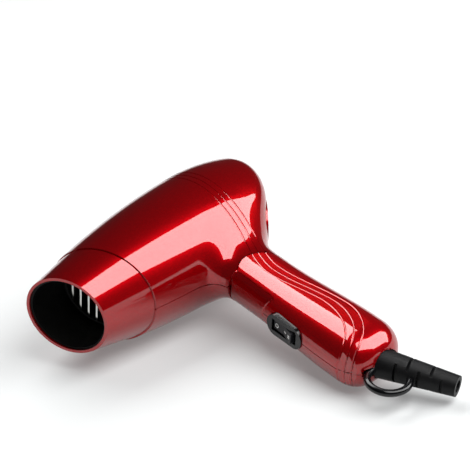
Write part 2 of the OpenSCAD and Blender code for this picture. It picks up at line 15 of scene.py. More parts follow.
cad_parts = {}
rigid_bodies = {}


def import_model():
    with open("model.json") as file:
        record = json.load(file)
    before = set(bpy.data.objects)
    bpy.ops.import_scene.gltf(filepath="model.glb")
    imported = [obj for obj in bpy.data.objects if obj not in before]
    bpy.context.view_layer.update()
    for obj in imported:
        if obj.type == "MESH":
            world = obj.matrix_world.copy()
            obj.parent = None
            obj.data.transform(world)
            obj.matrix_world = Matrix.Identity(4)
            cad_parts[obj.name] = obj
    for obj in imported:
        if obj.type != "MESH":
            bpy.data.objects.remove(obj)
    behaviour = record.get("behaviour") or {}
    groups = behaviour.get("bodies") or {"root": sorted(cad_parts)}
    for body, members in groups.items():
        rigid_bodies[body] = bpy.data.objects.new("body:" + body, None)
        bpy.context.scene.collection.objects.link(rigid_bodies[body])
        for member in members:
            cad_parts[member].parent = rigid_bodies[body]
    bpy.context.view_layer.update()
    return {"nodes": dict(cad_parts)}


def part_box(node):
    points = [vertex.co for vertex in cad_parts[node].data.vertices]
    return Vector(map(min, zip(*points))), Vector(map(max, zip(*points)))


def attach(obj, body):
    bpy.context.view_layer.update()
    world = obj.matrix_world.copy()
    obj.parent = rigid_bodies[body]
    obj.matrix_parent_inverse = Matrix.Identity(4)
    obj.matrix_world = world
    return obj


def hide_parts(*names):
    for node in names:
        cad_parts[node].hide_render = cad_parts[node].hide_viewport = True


for start_object in list(bpy.data.objects):
    bpy.data.objects.remove(start_object)
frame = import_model()

MM = 0.001

# ---------- sizes of the part ----------

# barrel: an arc turned about the axis, cut by a tilted round cap at the rear
WIDEST_X, BARREL_R = -84.2, 37.5
FRONT_ARC, REAR_ARC = 502.0, 128.3
ARC_ENDS = (-110, 300)
CAP_AT, CAP_TILT, CAP_R, CAP_CORNER = (-71.2, 8.9), math.radians(44), 70.6, 41.5
CAP_OPEN, CAP_BLEND, NECK_BLEND = 4, 8.0, 13.0
SEAM_TILT = math.radians(19.3)
INTAKE_R, INTAKE_OFF = 17.0, 21.0
SHAFT_FRONT_X = -54.6

# handle, in its own frame with the fold's pin at the origin and y along it:
# a round section of half width GRIP_B0 to GRIP_B1 drawn out by GRIP_D each way
PIVOT, LEAN = (-67.0, 66.0), math.radians(7.8)
GRIP_OFF, GRIP_D, GRIP_B0, GRIP_B1, SWELL_LEN = -3.6, 4.7, 14.4, 17.2, 66
FLARE, FLARE_FROM, FLARE_RUN, FLARE_END = 2.5, -12, 20, -50.0
NECK_ROOT = -60.0
FRAME_DOME_Y = 71.5
DOME_Y, DOME_LEN, DOME_POWER = 71.0, 19.0, 2.3
END_SLANT, SLANT_REACH = 0.07, 14

# nozzle: a cone whose axis lies a little to one side
NOZZLE_R, MOUTH_R, NOZZLE_LEN, NOZZLE_Y = 29.7, 24.3, 28.4, -0.4

# openings in the two skins
CHEEK_R, CHEEK_END, FRONT_ROOM = 18.35, -3.35, (4.0, -15.9)
CHEEK_SIDE, FORK_END, TONGUE_SLOT = 18.0, -3, (21.05, 10.75)
SEAT_Y, SEAT_LEN, SEAT_W = 33.9, 28.2, 13.2
LOOP_AT, LOOP_R, NOTCH_R = (2.5, 100.5), 11.5, 3.0
RELIEF_AT, RELIEF_LEAN, RELIEF_R, RELIEF_FROM = (-3.2, 84.0), math.radians(24.2), 8.9, -1
BARREL_POSTS = ((-80, -33), (-35, -29))
HANDLE_POSTS = ((-11, 62), (-13, 27))
HEAD_POCKET_R = 2.45

# three style lines: rings on the barrel that turn over the neck and along the
# handle, where each ends in a hook; the pairs are the first line's and the step
LINES, LINE_R, LINE_DEEP = 3, 0.6, 0.36
RING_X, LINE_PITCH, RING_END, TURN_LEN = -78.0, 4.0, 18, 22
LINE_X0, LINE_STEP, LINE_DIP, LINE_BOW, BOW_LEN = 1.4, 4.2, 4.7, 8.0, 34.0
DIP_LEN, HOOK_FROM, HOOK_TO, HOOK_SIDE = (42, 5), (38, 6), (77, 4), (24, 5)
HOOK_STOP = 0.995
PARTING = 0.22

shaft_lo, shaft_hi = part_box("motor_shaft")
ORIGIN = np.array([shaft_hi.x / MM - SHAFT_FRONT_X,
                   (shaft_lo.y + shaft_hi.y) / 2 / MM,
                   (shaft_lo.z + shaft_hi.z) / 2 / MM])


def to_row(x, y, z):
    return Vector((ORIGIN + (x, y, z)) * MM)


# ---------- distance fields of the red skin ----------

def revolve_field(p):
    """Distance outside the turned arcs of the barrel."""
    x, r = p[:, 0], np.hypot(p[:, 1], p[:, 2])
    arc = np.where(x > WIDEST_X, FRONT_ARC, REAR_ARC)
    t = np.clip(x - WIDEST_X, *ARC_ENDS)
    leg = np.sqrt(arc ** 2 - t ** 2)
    return (r - (BARREL_R - arc + leg)) / np.sqrt(1 + (t / leg) ** 2)


CAP_AXIS = np.array([-math.cos(CAP_TILT), math.sin(CAP_TILT), 0.0])
CAP_SIDE = np.array([-math.sin(CAP_TILT), -math.cos(CAP_TILT), 0.0])


def cap_field(p):
    """Distance outside the tilted disc with a round rim that ends the barrel."""
    d = p - (CAP_AT[0], CAP_AT[1], 0.0)
    u = d @ CAP_AXIS
    w = np.linalg.norm(d - u[:, None] * CAP_AXIS, axis=1)
    q = np.maximum(w - (CAP_R - CAP_CORNER), 0)
    round_part = np.where(q > 0, np.hypot(q, u) - CAP_CORNER, u - CAP_CORNER)
    return np.where(u > 0, round_part, w - CAP_R + CAP_OPEN * u)


def grip_frame(p):
    """Coordinates in the handle's own frame."""
    c, s = math.cos(LEAN), math.sin(LEAN)
    dx, dy = p[:, 0] - PIVOT[0], p[:, 1] - PIVOT[1]
    return c * dx - s * dy, s * dx + c * dy, p[:, 2]


def ease(t):
    t = np.clip(t, 0, 1)
    return t * t * (3 - 2 * t)


def grip_half_width(y):
    flare = FLARE * (np.maximum(0, FLARE_FROM - y) / FLARE_RUN) ** 2
    return GRIP_B0 + (GRIP_B1 - GRIP_B0) * ease(y / SWELL_LEN) + flare


def grip_field(p, dome_y=DOME_Y, slant=END_SLANT):
    """Distance outside the handle, with a domed end that slants back at the rear."""
    x, y, z = grip_frame(p)
    q = np.maximum(np.abs(x - GRIP_OFF) - GRIP_D, 0)
    r = np.hypot(q, z)
    side = np.maximum(r - grip_half_width(np.clip(y, FLARE_END, dome_y)), NECK_ROOT - y)
    start = dome_y + slant * np.clip(x - GRIP_OFF, -SLANT_REACH, SLANT_REACH)
    t = np.maximum(y - start, 0) / DOME_LEN
    end = ((np.maximum(r, 1e-6) / GRIP_B1) ** DOME_POWER + t ** DOME_POWER) ** (1 / DOME_POWER)
    return np.where(y > start, (end - 1) * GRIP_B1, side)


def grip_was(p):
    """The handle as it is in the frame, without the slant."""
    return grip_field(p, FRAME_DOME_Y, 0.0)


def nozzle_field(p):
    slope = (NOZZLE_R - MOUTH_R) / NOZZLE_LEN
    r = np.hypot(p[:, 1] - NOZZLE_Y, p[:, 2])
    return (r - NOZZLE_R + p[:, 0] * slope) / math.hypot(1, slope)


def barrel_was(p):
    """The barrel and neck as they are in the frame, with an edge between them."""
    return np.minimum(np.maximum(revolve_field(p), cap_field(p)), grip_field(p))


def smooth_min(a, b, k):
    h = np.maximum(k - np.abs(a - b), 0) / k
    return np.minimum(a, b) - h * h * k / 4


def barrel_smooth(p):
    body = -smooth_min(-revolve_field(p), -cap_field(p), CAP_BLEND)
    return smooth_min(body, grip_field(p), NECK_BLEND)


PROBE, TINY = 0.02, 1e-9


def slope_of(field, p):
    """The unit slope of a field and its size, by central differences."""
    g = np.stack([field(p + PROBE * e) - field(p - PROBE * e) for e in np.eye(3)], axis=1)
    size = np.linalg.norm(g, axis=1, keepdims=True)
    return g / np.maximum(size, TINY), size[:, 0] / (2 * PROBE)


# ---------- pieces made from the frame ----------

GRID = 1.6
SKIN_NEAR, SKIN_TOL, AGREE = 0.12, 0.03, 0.6
GROOVE_LOW, GROOVE_AGREE = -0.75, 0.3
MIN_SLOPE, LONGEST_STEP = 0.2, 2
WELD = 2e-6
SHARP_ANGLE = math.radians(32)


def welded(node):
    """The node's mesh with the corners of its faces joined."""
    bm = bmesh.new()
    bm.from_mesh(frame["nodes"][node].data)
    bmesh.ops.remove_doubles(bm, verts=bm.verts, dist=WELD)
    return bm


def coords(bm):
    return np.array([v.co for v in bm.verts], float).reshape(-1, 3) / MM - ORIGIN


def middles(bm):
    return np.array([f.calc_center_median() for f in bm.faces], float) / MM - ORIGIN


def settle(bm, p, chosen=None):
    """Moves the vertices, or the chosen ones, to the points p."""
    for k, (v, co) in enumerate(zip(bm.verts, (p + ORIGIN) * MM)):
        if chosen is None or chosen[k]:
            v.co = co


def mesh_of(bm, name):
    me = bpy.data.meshes.new(name)
    bm.to_mesh(me)
    bm.free()
    return me


def onto(field, p, rounds):
    """Points moved along the slope of the field onto its zero level."""
    for _ in range(rounds):
        normal, size = slope_of(field, p)
        step = np.clip(field(p) / np.maximum(size, MIN_SLOPE), -LONGEST_STEP, LONGEST_STEP)
        p = p - normal * step[:, None]
    return p


def fetched(items, name, width=1, kind=float):
    """One attribute of all the items of a mesh, as an array."""
    out = np.empty(len(items) * width, kind)
    items.foreach_get(name, out)
    return out.reshape(-1, width) if width > 1 else out


def shaded(me, field, line_level=None):
    """Smooth shading with the field's own normals, rounded inside the style lines."""
    p = fetched(me.vertices, "co", 3) / MM - ORIGIN
    normal, size = slope_of(field, p)
    level = field(p) / np.maximum(size, MIN_SLOPE)
    middle = fetched(me.polygons, "center", 3) / MM - ORIGIN
    starts = fetched(me.polygons, "loop_start", kind=int)
    corners = np.diff(np.append(starts, len(me.loops)))
    loop_v = fetched(me.loops, "vertex_index", kind=int)
    loop_n = normal[loop_v]
    face_n = np.repeat(fetched(me.polygons, "normal", 3), corners, axis=0)
    along = np.einsum("ij,ij->i", face_n, loop_n)
    on_skin = (np.abs(level) < SKIN_TOL)[loop_v] & (along > AGREE)
    keep = np.repeat(np.logical_and.reduceat(on_skin, starts), corners)
    in_groove = (level > GROOVE_LOW)[loop_v] & (along > GROOVE_AGREE)
    sunk = np.logical_and.reduceat(in_groove, starts)
    for k in range(LINES if line_level else 0):
        def near_line(q):
            return line_level(q, k)
        in_line = sunk & (np.abs(near_line(middle)) < LINE_R)
        loops = np.flatnonzero(np.repeat(in_line, corners))
        if len(loops):
            q = p[loop_v[loops]]
            across, _ = slope_of(near_line, q)
            n = loop_n[loops]
            across = across - n * np.einsum("ij,ij->i", across, n)[:, None]
            tilt = 2 * LINE_DEEP * np.clip(near_line(q) / LINE_R, -1, 1) / LINE_R
            loop_n[loops] = n - across * tilt[:, None]
            keep[loops] = True
    me.shade_smooth()
    me.set_sharp_from_angle(angle=SHARP_ANGLE)
    corner = np.array([c.vector for c in me.corner_normals])
    corner[keep] = loop_n[keep]
    corner /= np.maximum(np.linalg.norm(corner, axis=1, keepdims=True), TINY)
    me.normals_split_custom_set(corner.tolist())


def place(name, me, node, body):
    obj = bpy.data.objects.new(name, me)
    bpy.context.scene.collection.objects.link(obj)
    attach(obj, body)
    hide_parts(node)
    return obj


def skin_piece(name, node, body, field):
    """The node's own mesh, with its skin moved onto the exact form."""
    bm = welded(node)
    p = coords(bm)
    normal, size = slope_of(field, p)
    level = field(p)
    shift = np.where(np.abs(level) < SKIN_NEAR, level / np.maximum(size, MIN_SLOPE), 0)
    settle(bm, p - normal * shift[:, None])
    me = mesh_of(bm, name)
    shaded(me, field)
    return place(name, me, node, body)


# ---------- the moulded skins, drawn afresh ----------

NET_ROUNDS, SKIN_ROUNDS, EDGE_ROUNDS = 6, 2, 3
ON_CUT, ON_PARTING = 1e-3, 0.02


def net(field, low, high):
    """Quads on the zero level of a field, with a vertex in each grid cell it crosses."""
    axes = [np.arange(a, b, GRID) for a, b in zip(low, high)]
    shape = tuple(len(a) for a in axes)
    grid = np.stack(np.meshgrid(*axes, indexing="ij"), axis=-1).reshape(-1, 3)
    inside = (field(grid) < 0).reshape(shape)
    count = sum(inside[i:shape[0] - 1 + i, j:shape[1] - 1 + j, k:shape[2] - 1 + k].astype(int)
                for i in (0, 1) for j in (0, 1) for k in (0, 1))
    crossed = (count > 0) & (count < 8)
    number = np.full(crossed.shape, -1)
    number[crossed] = np.arange(crossed.sum())
    points = onto(field, np.array(low) + (np.argwhere(crossed) + 0.5) * GRID, NET_ROUNDS)
    quads = []
    for axis in range(3):
        u, v = (axis + 1) % 3, (axis + 2) % 3
        front, rear = [slice(None)] * 3, [slice(None)] * 3
        front[axis], rear[axis] = slice(0, -1), slice(1, None)
        at = np.argwhere(inside[tuple(front)] != inside[tuple(rear)])
        fits = [(at[:, w] > 0) & (at[:, w] < shape[w] - 1) for w in (u, v)]
        at = at[fits[0] & fits[1]]
        eu, ev = np.eye(3, dtype=int)[[u, v]]
        around = np.stack([at, at - eu, at - eu - ev, at - ev], axis=1)
        ids = number[around[..., 0], around[..., 1], around[..., 2]]
        turned = ~inside[tuple(at.T)]
        ids[turned] = ids[turned][:, ::-1]
        quads.append(ids)
    return points, np.concatenate(quads)


def cut(bm, level):
    """Splits triangles along the zero line of level(points)."""
    bm.verts.index_update()
    h = level(coords(bm))
    h[np.abs(h) < ON_CUT] = 0
    line = {v for v in bm.verts if h[v.index] == 0}
    fresh = []
    for e in list(bm.edges):
        a, b = e.verts
        ha, hb = h[a.index], h[b.index]
        if ha * hb < 0:
            co = a.co.lerp(b.co, ha / (ha - hb))
            v = bmesh.utils.edge_split(e, a, 0.5)[1]
            v.co = co
            fresh.append(v)
    line.update(fresh)
    for f in {f for v in fresh for f in v.link_faces}:
        ends = [v for v in f.verts if v in line]
        if len(ends) == 2 and not any(set(ends) == set(e.verts) for e in f.edges):
            bmesh.utils.face_split(f, *ends)
    bmesh.ops.triangulate(bm, faces=[f for f in bm.faces if len(f.verts) > 3])


def drop(bm, gone):
    """Deletes the faces whose middles fulfil gone(points)."""
    hit = gone(middles(bm))
    bmesh.ops.delete(bm, geom=[f for f, h in zip(bm.faces, hit) if h], context="FACES")


def seam_level(p):
    """Distance in front of the slanted seam between barrel and nozzle."""
    return p[:, 0] * math.cos(SEAM_TILT) + p[:, 1] * math.sin(SEAM_TILT)


def in_fold(p, slack):
    """The space of the handle and its cheeks, where the neck has no skin."""
    x, y, _ = grip_frame(p)
    return ((np.hypot(x, y) < CHEEK_R - slack)
            | ((x < 0) & (y > CHEEK_END + slack)) | ((x >= 0) & (y > slack))
            | ((x > FRONT_ROOM[0] + slack) & (y > FRONT_ROOM[1] + slack)))


def intake_level(p):
    """Distance outside the round air intake in the cap."""
    d = p - (CAP_AT[0], CAP_AT[1], 0.0)
    r = np.hypot(d @ CAP_SIDE - INTAKE_OFF, d[:, 2])
    return np.where(d @ CAP_AXIS > CAP_CORNER / 2, r - INTAKE_R, INTAKE_R)


def neck_line(p, k):
    x, y, _ = grip_frame(p)
    return x - LINE_X0 + LINE_STEP * k + LINE_BOW * ease(-y / BOW_LEN)


def ring_line(p, k):
    return p[:, 0] - RING_X + LINE_PITCH * k


def style_level(p, k):
    """Distance from style line k, a ring on the barrel that runs on over the neck."""
    t = ease((p[:, 1] - RING_END) / TURN_LEN)
    return ring_line(p, k) * (1 - t) + neck_line(p, k) * t


def grip_line(p, k):
    """Distance from style line k on the handle, which ends in a hook round the bulb."""
    x, y, _ = grip_frame(p)
    dip, y0, y1, hook = (first + step * k
                         for first, step in (DIP_LEN, HOOK_FROM, HOOK_TO, HOOK_SIDE))
    t = np.clip((y - y0) / (y1 - y0), 0, HOOK_STOP)
    at = (LINE_X0 - LINE_STEP * k - LINE_DIP * ease(y / dip)
          - LINE_BOW * ease(-y / BOW_LEN) + hook * (1 - np.sqrt(1 - t * t)))
    slope = hook * t / np.sqrt(1 - t * t) / (y1 - y0)
    return (x - at) / np.sqrt(1 + slope * slope)


def handle_zone(p, slack):
    """Where the handle has skin: its cheeks and all below them."""
    x, y, _ = grip_frame(p)
    return ((np.hypot(x, y) < CHEEK_SIDE + slack) | ((x < 0) & (y > FORK_END - slack))
            | ((x >= 0) & (y > -slack)))


def in_slot(p, slack):
    """The slot between the cheeks, where the tongue turns."""
    x, y, z = grip_frame(p)
    return (np.hypot(x, y) < TONGUE_SLOT[0] + slack) & (np.abs(z) < TONGUE_SLOT[1] + slack)


def seat_level(p):
    """Distance outside the seat of the switch."""
    x, y, z = grip_frame(p)
    r = np.hypot(np.maximum(np.abs(y - SEAT_Y) - (SEAT_LEN - SEAT_W) / 2, 0), z)
    return np.where(x > 0, r - SEAT_W / 2, SEAT_W)


def notch_level(p):
    """Distance outside the channel of the hanging loop."""
    x, y, z = grip_frame(p)
    return np.hypot(np.hypot(x - LOOP_AT[0], y - LOOP_AT[1]) - LOOP_R, z) - NOTCH_R


def relief_level(p):
    """Distance outside the hole of the strain relief."""
    x, y, z = grip_frame(p)
    c, s = math.cos(RELIEF_LEAN), math.sin(RELIEF_LEAN)
    dx, dy = x - RELIEF_AT[0], y - RELIEF_AT[1]
    out = np.hypot(dx * c + dy * s, z) - RELIEF_R
    return np.where(dy * c - dx * s > RELIEF_FROM, out, RELIEF_R)


def pocket_level(posts, frame_of):
    """Distance outside the nearest screw pocket of the lower half."""
    def level(p):
        x, y, z = frame_of(p)
        r = np.min([np.hypot(x - px, y - py) for px, py in posts], axis=0)
        return np.where(z < 0, r - HEAD_POCKET_R, HEAD_POCKET_R)
    return level


def section(p):
    """Coordinates in the barrel's frame, as grip_frame gives the handle's."""
    return p[:, 0], p[:, 1], p[:, 2]


def outside_of(half, start, field, cuts, gone, line_level):
    """One half of a moulded skin, cut open and scored with its style lines."""
    points, quads = start
    me = bpy.data.meshes.new("net")
    me.from_pydata(((points + ORIGIN) * MM).tolist(), [], quads.tolist())
    bm = bmesh.new()
    bm.from_mesh(me)
    bpy.data.meshes.remove(me)
    bmesh.ops.triangulate(bm, faces=bm.faces)
    cut(bm, lambda p: p[:, 2])
    drop(bm, lambda p: p[:, 2] * half < 0)
    for level in cuts:
        cut(bm, level)
        drop(bm, gone)
    for k in range(LINES):
        for side in (-1, -0.5, 0, 0.5, 1):
            cut(bm, lambda p: line_level(p, k) - side * LINE_R)
    cut(bm, lambda p: np.abs(p[:, 2]) - PARTING)
    p = onto(field, coords(bm), SKIN_ROUNDS)
    normal, _ = slope_of(field, p)
    deep = PARTING * (np.abs(p[:, 2]) < ON_PARTING)
    for k in range(LINES):
        deep = deep + LINE_DEEP * np.clip(1 - (line_level(p, k) / LINE_R) ** 2, 0, 1)
    settle(bm, p - normal * deep[:, None])
    return mesh_of(bm, "skin")


# what counts as the old skin or a groove in it, and as the rim of an opening
OLD_LOW, OLD_EDGE, OLD_LINE = -0.85, -0.05, 0.7
RIM_NEAR, RIM_EDGE = 0.3, -0.5


def reskinned(name, node, body, half, start, field, was, lines, cuts, gone, line_level):
    """The frame's shell inside, with a fresh skin on the outside.

    was is the skin of the frame and lines its style lines, both of which go.
    """
    bm = welded(node)
    bm.normal_update()
    p = coords(bm)
    level = was(p)
    middle = middles(bm)
    face_n = np.array([f.normal for f in bm.faces], float)
    along = np.einsum("ij,ij->i", face_n, slope_of(was, middle)[0])
    line = np.min([np.abs(g(middle, k)) for g in lines for k in range(LINES)], axis=0)
    bm.verts.index_update()
    shallow = np.array([min(level[v.index] for v in f.verts) > OLD_LOW for f in bm.faces])
    old = ~gone(middle, OLD_EDGE) & shallow & ((along > AGREE) | (line < OLD_LINE))
    settle(bm, onto(field, p, EDGE_ROUNDS), (np.abs(level) < RIM_NEAR) & ~gone(p, RIM_EDGE))
    bmesh.ops.delete(bm, geom=[f for f, o in zip(bm.faces, old) if o], context="FACES")
    skin = outside_of(half, start, field, cuts, gone, line_level)
    bm.from_mesh(skin)
    bpy.data.meshes.remove(skin)
    me = mesh_of(bm, name)
    shaded(me, field, line_level)
    return place(name, me, node, body)


def from_pin(p):
    return np.hypot(*grip_frame(p)[:2])


BARREL_POCKETS = pocket_level(BARREL_POSTS, section)
BARREL_CUTS = (seam_level, lambda p: from_pin(p) - CHEEK_R,
               lambda p: grip_frame(p)[1] - CHEEK_END,
               lambda p: grip_frame(p)[1] - FRONT_ROOM[1],
               lambda p: grip_frame(p)[0] - FRONT_ROOM[0], intake_level, BARREL_POCKETS)


def off_barrel(p, slack=0.0):
    """Where the barrel's half has no skin; slack shrinks the openings."""
    return ((seam_level(p) > slack) | in_fold(p, slack) | (intake_level(p) < -slack)
            | (BARREL_POCKETS(p) < -slack))


HANDLE_POCKETS = pocket_level(HANDLE_POSTS, grip_frame)
HANDLE_CUTS = (lambda p: from_pin(p) - CHEEK_SIDE,
               lambda p: grip_frame(p)[1] - FORK_END, lambda p: grip_frame(p)[1],
               lambda p: from_pin(p) - TONGUE_SLOT[0],
               lambda p: np.abs(p[:, 2]) - TONGUE_SLOT[1],
               seat_level, notch_level, relief_level, HANDLE_POCKETS)


def off_handle(p, slack=0.0):
    """Where the handle's half has no skin; slack shrinks the openings."""
    return (~handle_zone(p, -slack) | in_slot(p, -slack) | (seat_level(p) < -slack)
            | (notch_level(p) < -slack) | (relief_level(p) < -slack)
            | (HANDLE_POCKETS(p) < -slack))


FLAT_ANGLE, EDGE_ANGLE = math.radians(0.6), math.radians(35)


def softened(name, node, body, width):
    """The node's shape with its hard edges rounded, as moulded parts have them."""
    bm = welded(node)
    bmesh.ops.dissolve_limit(bm, angle_limit=FLAT_ANGLE, verts=bm.verts, edges=bm.edges)
    me = mesh_of(bm, name)
    me.shade_smooth()
    me.set_sharp_from_angle(angle=SHARP_ANGLE)
    obj = place(name, me, node, body)
    bevel = obj.modifiers.new("edges", "BEVEL")
    bevel.width = width * MM
    bevel.segments = 2
    bevel.limit_method = "ANGLE"
    bevel.angle_limit = EDGE_ANGLE
    bevel.use_clamp_overlap = True
    bevel.harden_normals = True
    return obj


# ---------- materials ----------

def rgb(r, g, b):
    """A display colour as scene-linear."""
    def lin(v):
        v /= 255
        return v / 12.92 if v <= 0.04045 else ((v + 0.055) / 1.055) ** 2.4
    return (lin(r), lin(g), lin(b), 1.0)


class Nodes:
    """Short names for building a node material in object coordinates."""

    def __init__(self, name):
        self.mat = bpy.data.materials.new(name)
        self.mat.use_nodes = True
        self.tree = self.mat.node_tree
        self.shader = self.tree.nodes["Principled BSDF"]
        self.where = self.add("ShaderNodeTexCoord").outputs["Object"]

    def add(self, kind, **values):
        node = self.tree.nodes.new(kind)
        for key, value in values.items():
            setattr(node, key, value)
        return node

    def link(self, a, b):
        self.tree.links.new(a, b)

    def noise(self, scale, detail, rough=0.5):
        n = self.add("ShaderNodeTexNoise")
        n.inputs["Scale"].default_value = scale
        n.inputs["Detail"].default_value = detail
        n.inputs["Roughness"].default_value = rough
        self.link(self.where, n.inputs["Vector"])
        return n.outputs["Fac"]

    def cells(self, scale):
        n = self.add("ShaderNodeTexVoronoi")
        n.inputs["Scale"].default_value = scale
        self.link(self.where, n.inputs["Vector"])
        return n

    def ramp(self, fac, stops):
        n = self.add("ShaderNodeValToRGB")
        ramp = n.color_ramp
        while len(ramp.elements) < len(stops):
            ramp.elements.new(0.5)
        for e, (at, colour) in zip(ramp.elements, stops):
            e.position = at
            e.color = colour
        self.link(fac, n.inputs["Fac"])
        return n.outputs["Color"]

    def mix(self, fac, a, b):
        n = self.add("ShaderNodeMix", data_type="RGBA")
        for socket, value in ((n.inputs[0], fac), (n.inputs[6], a), (n.inputs[7], b)):
            if isinstance(value, (tuple, float)):
                socket.default_value = value
            else:
                self.link(value, socket)
        return n.outputs[2]

    def span(self, fac, low, high, a=0.0, b=1.0):
        n = self.add("ShaderNodeMapRange")
        for key, value in (("From Min", a), ("From Max", b), ("To Min", low), ("To Max", high)):
            n.inputs[key].default_value = value
        self.link(fac, n.inputs["Value"])
        return n.outputs["Result"]

    def bump(self, height, strength, distance_mm):
        n = self.add("ShaderNodeBump")
        n.inputs["Strength"].default_value = strength
        n.inputs["Distance"].default_value = distance_mm * MM
        self.link(height, n.inputs["Height"])
        self.link(n.outputs["Normal"], self.shader.inputs["Normal"])

    def set(self, **values):
        for key, value in values.items():
            socket = self.shader.inputs[key.replace("_", " ")]
            if hasattr(value, "is_linked"):
                self.link(value, socket)
            else:
                socket.default_value = value


def candy_red():
    """Clear coat over tinted metal flakes, a little deeper in patches."""
    m = Nodes("candy_red")
    flakes = m.cells(5200)
    glint = m.ramp(flakes.outputs["Color"], [(0.0, rgb(128, 0, 5)), (0.75, rgb(160, 0, 7)),
                                             (1.0, rgb(205, 14, 18))])
    depth = m.noise(14, 2)
    m.set(Base_Color=m.mix(m.span(depth, 0.0, 0.35), glint, rgb(134, 0, 6)),
          Metallic=0.62,
          Roughness=m.span(m.noise(900, 2), 0.27, 0.36),
          Coat_Weight=1.0, Coat_Roughness=0.025, Coat_IOR=1.6, Specular_IOR_Level=0.05,
          Specular_Tint=rgb(190, 10, 16))
    m.bump(flakes.outputs["Distance"], 0.10, 0.02)
    return m.mat


def plastic(name, dark, light, low, high, grain, bump, mottle=60, coat=0.0, metallic=0.0,
            specular=0.5):
    """Moulded plastic or a plain finish: mottled tone, uneven gloss, fine grain."""
    m = Nodes(name)
    tone = m.noise(mottle, 4)
    fine = m.noise(grain, 4, 0.6)
    m.set(Base_Color=m.ramp(tone, [(0.25, rgb(*dark)), (0.75, rgb(*light))]),
          Metallic=metallic,
          Roughness=m.span(m.noise(mottle * 6, 3), low, high),
          Coat_Weight=coat, Coat_Roughness=0.06, Specular_IOR_Level=specular)
    m.bump(fine, bump, 0.12)
    return m.mat


# painted light and shade on the grille: faces turned out of the mouth are painted pale as if
# lit and the rest dark as if in shade, and beyond these radii the grille is dark
BARS_END = (0.0205, 0.0215)
PAINTED_LIT_FACING = (0.6, 0.8)


def grille_bars():
    """Painted light and shade on the bars: faces turned out of the mouth are pale, as if lit,
    and the other faces dark, as if in shade; dark beyond the ends of the bars, in the sleeve.
    """
    m = Nodes("grille_grey")
    shape = m.add("ShaderNodeNewGeometry")
    facing = m.add("ShaderNodeSeparateXYZ")
    m.link(shape.outputs["Normal"], facing.inputs[0])
    off = m.add("ShaderNodeVectorMath", operation="SUBTRACT")
    off.inputs[1].default_value = ORIGIN * MM
    m.link(m.where, off.inputs[0])
    flat = m.add("ShaderNodeVectorMath", operation="MULTIPLY")
    flat.inputs[1].default_value = (0, 1, 1)
    m.link(off.outputs[0], flat.inputs[0])
    out = m.add("ShaderNodeVectorMath", operation="LENGTH")
    m.link(flat.outputs[0], out.inputs[0])
    # painted light: only faces turned out of the mouth, inside the ends of the bars, get the
    # pale colour; the rest is painted dark as shade
    front = m.add("ShaderNodeMath", operation="MULTIPLY")
    m.link(m.span(facing.outputs[0], 0.0, 1.0, *PAINTED_LIT_FACING), front.inputs[0])
    m.link(m.span(out.outputs["Value"], 1.0, 0.0, *BARS_END), front.inputs[1])
    pale = m.ramp(m.noise(90, 4), [(0.25, rgb(205, 205, 200)), (0.75, rgb(240, 240, 234))])
    m.set(Base_Color=m.mix(front.outputs[0], rgb(16, 16, 15), pale),
          Roughness=m.span(m.noise(400, 3), 0.35, 0.5), Specular_IOR_Level=0.2)
    m.bump(m.noise(1800, 4, 0.6), 0.2, 0.12)
    return m.mat


MATERIALS = {
    "red_shell": candy_red(),
    "black_gloss": plastic("black_gloss", (3, 3, 4), (8, 8, 10), 0.14, 0.24, 2600, 0.05,
                           coat=0.12, specular=0.3),
    "black_matte": plastic("black_matte", (3, 3, 3), (9, 8, 8), 0.4, 0.6, 2400, 0.35,
                           specular=0.12),
    "dark_grey": plastic("dark_grey", (20, 20, 23), (32, 32, 36), 0.34, 0.5, 2400, 0.3,
                         specular=0.3),
    "grille_grey": grille_bars(),
    "mica": plastic("mica", (150, 128, 88), (206, 186, 140), 0.35, 0.6, 900, 0.4),
    "wire": plastic("wire", (112, 100, 88), (160, 146, 128), 0.28, 0.45, 3000, 0.3,
                    metallic=1.0),
    "steel": plastic("steel", (168, 168, 172), (205, 205, 208), 0.2, 0.36, 3000, 0.2,
                     metallic=1.0),
    "brass": plastic("brass", (176, 138, 62), (218, 182, 98), 0.22, 0.4, 3000, 0.2,
                     metallic=1.0),
    "ceramic": plastic("ceramic", (206, 200, 186), (236, 231, 219), 0.3, 0.5, 1600, 0.3),
    "board": plastic("board", (20, 66, 38), (34, 96, 58), 0.3, 0.5, 1800, 0.25),
    "cap_orange": plastic("cap_orange", (160, 66, 22), (200, 92, 36), 0.25, 0.4, 1600, 0.2),
    "mesh": plastic("mesh", (104, 105, 108), (146, 148, 152), 0.3, 0.45, 4200, 0.5,
                    metallic=0.9),
    "white_mark": plastic("white_mark", (222, 222, 220), (246, 246, 244), 0.35, 0.5, 2600, 0.2),
    "rubber": plastic("rubber", (4, 4, 5), (13, 13, 14), 0.42, 0.6, 2200, 0.45, specular=0.2),
    "lead_blue": plastic("lead_blue", (24, 48, 130), (38, 66, 168), 0.35, 0.5, 2000, 0.2),
    "lead_white": plastic("lead_white", (206, 200, 188), (232, 227, 216), 0.35, 0.5, 2000, 0.2),
}


def finish(obj, slot_name):
    obj.data.materials.clear()
    obj.data.materials.append(MATERIALS[slot_name])


# ---------- pieces ----------

BARREL_SPAN = (-126, -40, -40), (16, 69, 40)
HANDLE_SPAN = (-100, 40, -20), (-20, 162, 20)
BARREL_NET = net(barrel_smooth, *BARREL_SPAN)
HANDLE_NET = net(grip_field, *HANDLE_SPAN)
for name, half in (("upper", 1), ("lower", -1)):
    finish(reskinned("shell_" + name, "barrel_" + name, "barrel", half, BARREL_NET,
                     barrel_smooth, barrel_was, (neck_line, ring_line), BARREL_CUTS,
                     off_barrel, style_level), "red_shell")
    finish(reskinned("grip_" + name, "handle_" + name, "handle", half, HANDLE_NET,
                     grip_field, grip_was, (grip_line,), HANDLE_CUTS, off_handle,
                     grip_line), "red_shell")
finish(skin_piece("nozzle_skin", "nozzle_shell", "nozzle", nozzle_field), "red_shell")

